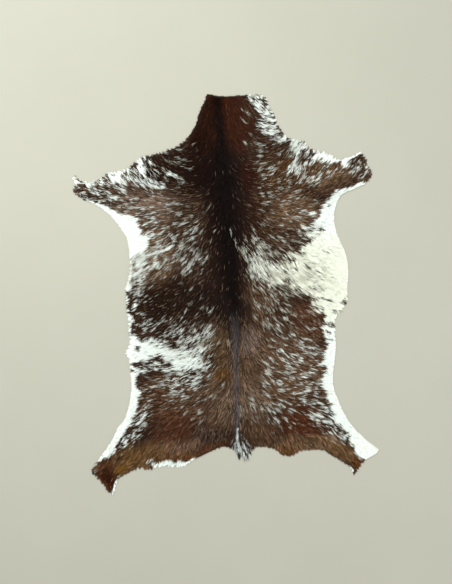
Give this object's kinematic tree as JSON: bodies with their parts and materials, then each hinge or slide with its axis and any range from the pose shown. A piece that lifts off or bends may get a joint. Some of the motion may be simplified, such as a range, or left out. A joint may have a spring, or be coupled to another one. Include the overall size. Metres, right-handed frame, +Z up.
{
  "type": "goatskin rug",
  "caption": "Whole flat goat hide rug with the hair on: neck, leg flaps, belly edges and tail tuft, a lumpy pile and tapered locks at its rim. Lies flat on a floor.",
  "frame": {"origin": "under the middle of the hide, where it touches the floor", "axes": "+Z up from the floor, +Y from the tail towards the neck, +X to the right seen from above with the neck away from the viewer"},
  "size_m": [0.837, 1.0972, 0.014],
  "materials": {
    "pelt": "hair-on hide: short lying goat hair, dark brown with cream and white flecks, soft sheen"
  },
  "bodies": {
    "root": {"hide": "pelt"}
  },
  "joints": []
}
